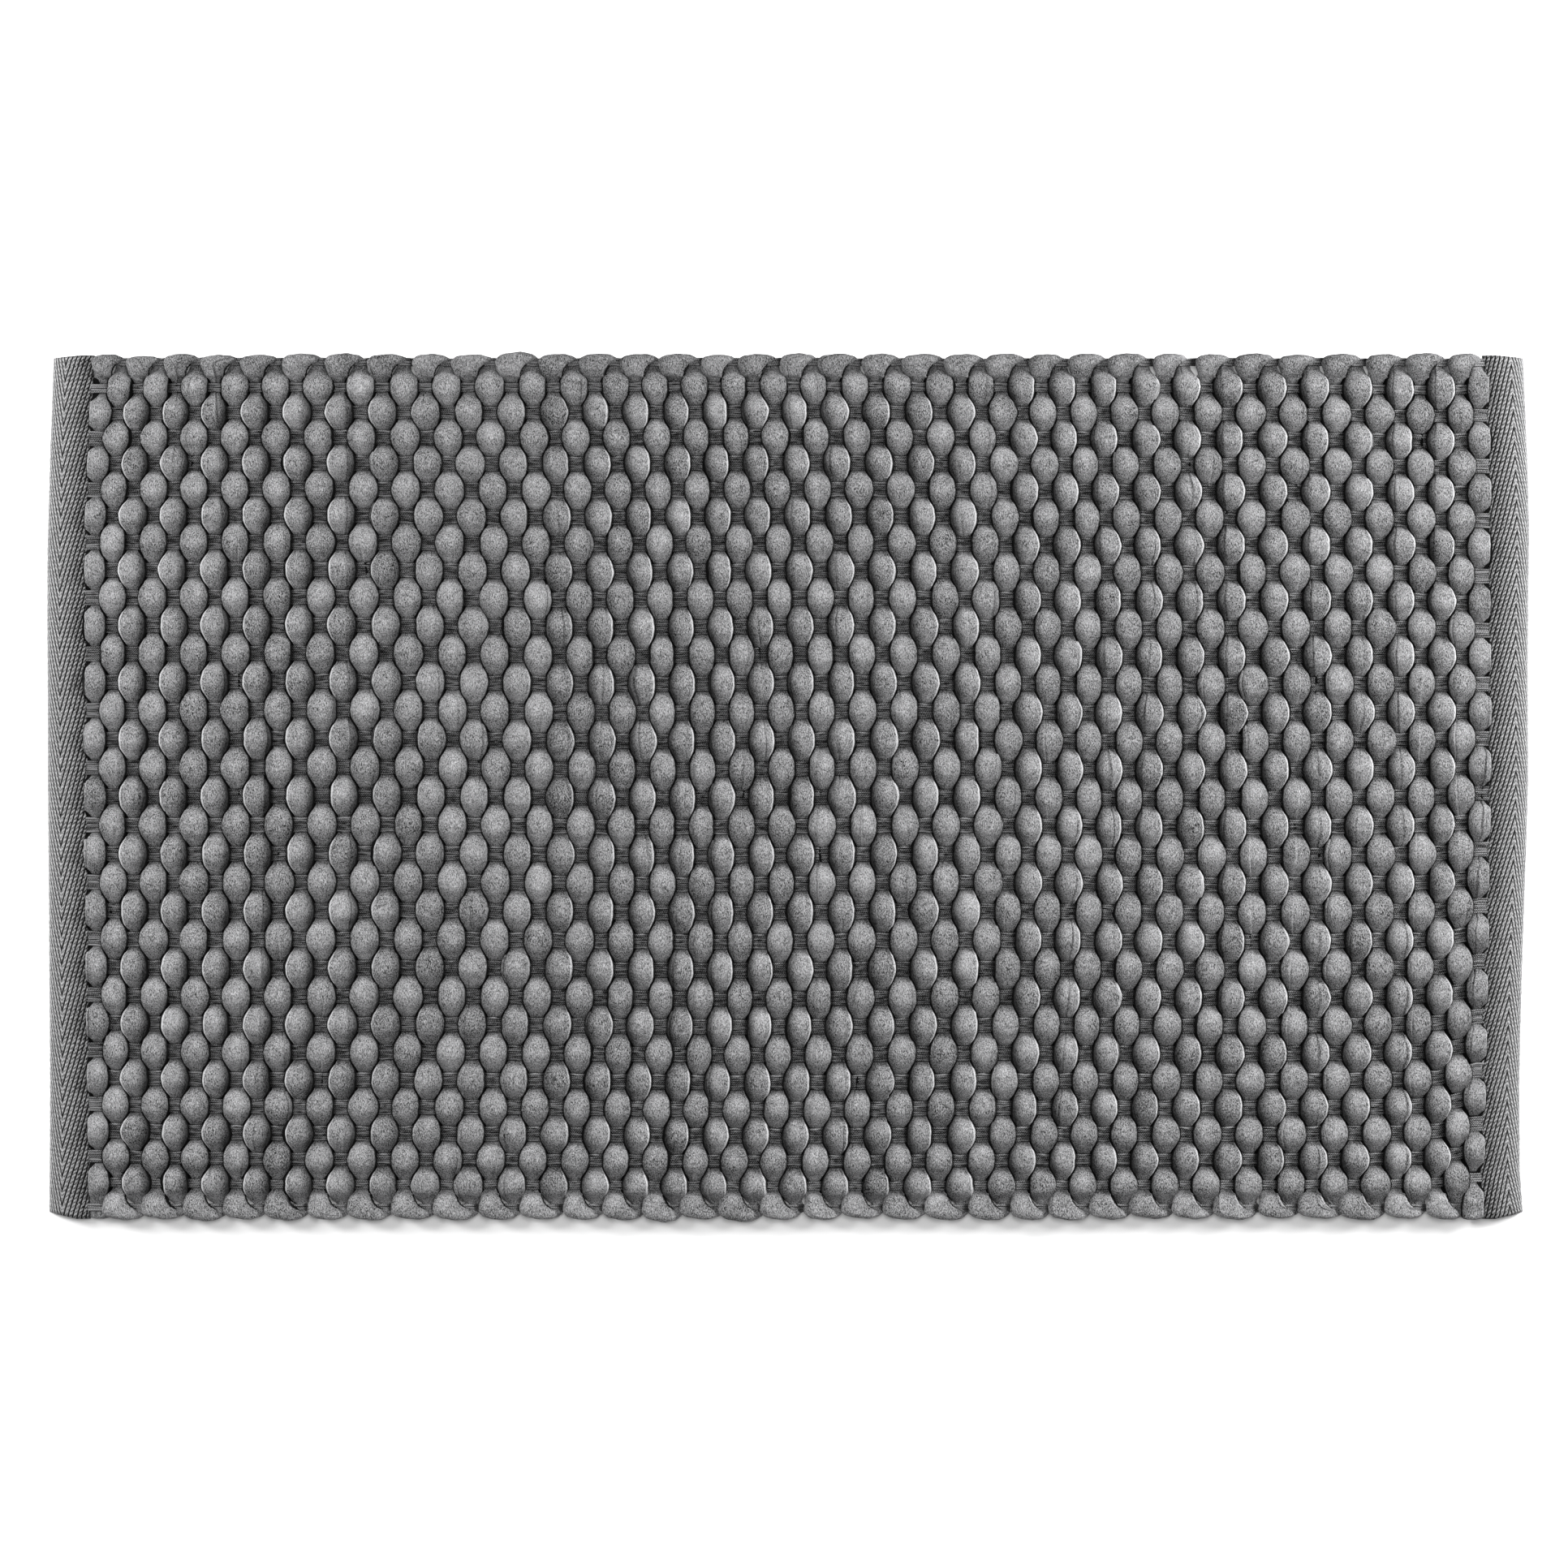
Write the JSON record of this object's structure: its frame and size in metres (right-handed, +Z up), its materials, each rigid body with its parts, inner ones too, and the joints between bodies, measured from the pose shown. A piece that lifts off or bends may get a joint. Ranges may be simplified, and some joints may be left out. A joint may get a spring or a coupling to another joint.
{
  "type": "bath mat",
  "caption": "Rectangular woven bath mat of padded velvet cords that pass over and under yarn bundles, closed at both short ends by a folded tape.",
  "frame": {"origin": "on the floor, under the middle of the mat lying flat", "axes": "+X along the long side, parallel to the yarn bundles; +Y along the short side, parallel to the padded cord's columns; +Z up"},
  "size_m": [1.024, 0.6, 0.0179],
  "materials": {
    "velvet": "short-pile velvet, matt with a soft sheen",
    "fibre_filling": "loose polyester fibre",
    "warp_yarn": "twisted cotton-look yarn, matt",
    "binding_tape": "heavy herringbone tape, matt",
    "thread": "sewing thread"
  },
  "bodies": {
    "root": {"weft_cord_sleeve_1": "velvet", "weft_cord_sleeve_2": "velvet", "weft_cord_sleeve_3": "velvet", "weft_cord_sleeve_4": "velvet", "weft_cord_filling_1": "fibre_filling", "weft_cord_filling_2": "fibre_filling", "weft_cord_filling_3": "fibre_filling", "weft_cord_filling_4": "fibre_filling", "warp_bundle_01": "warp_yarn", "warp_bundle_02": "warp_yarn", "warp_bundle_03": "warp_yarn", "warp_bundle_04": "warp_yarn", "warp_bundle_05": "warp_yarn", "warp_bundle_06": "warp_yarn", "warp_bundle_07": "warp_yarn", "warp_bundle_08": "warp_yarn", "warp_bundle_09": "warp_yarn", "warp_bundle_10": "warp_yarn", "warp_bundle_11": "warp_yarn", "warp_bundle_12": "warp_yarn", "warp_bundle_13": "warp_yarn", "warp_bundle_14": "warp_yarn", "warp_bundle_15": "warp_yarn", "warp_bundle_16": "warp_yarn", "warp_bundle_17": "warp_yarn", "warp_bundle_18": "warp_yarn", "warp_bundle_19": "warp_yarn", "warp_bundle_20": "warp_yarn", "warp_bundle_21": "warp_yarn", "warp_bundle_22": "warp_yarn", "warp_bundle_23": "warp_yarn", "warp_bundle_24": "warp_yarn", "warp_bundle_25": "warp_yarn", "warp_bundle_26": "warp_yarn", "warp_bundle_27": "warp_yarn", "warp_bundle_28": "warp_yarn", "warp_bundle_29": "warp_yarn", "warp_bundle_30": "warp_yarn", "warp_bundle_31": "warp_yarn", "warp_bundle_32": "warp_yarn", "binding_tape_left": "binding_tape", "binding_tape_right": "binding_tape", "binding_stitch_left": "thread", "binding_stitch_right": "thread"}
  },
  "joints": []
}
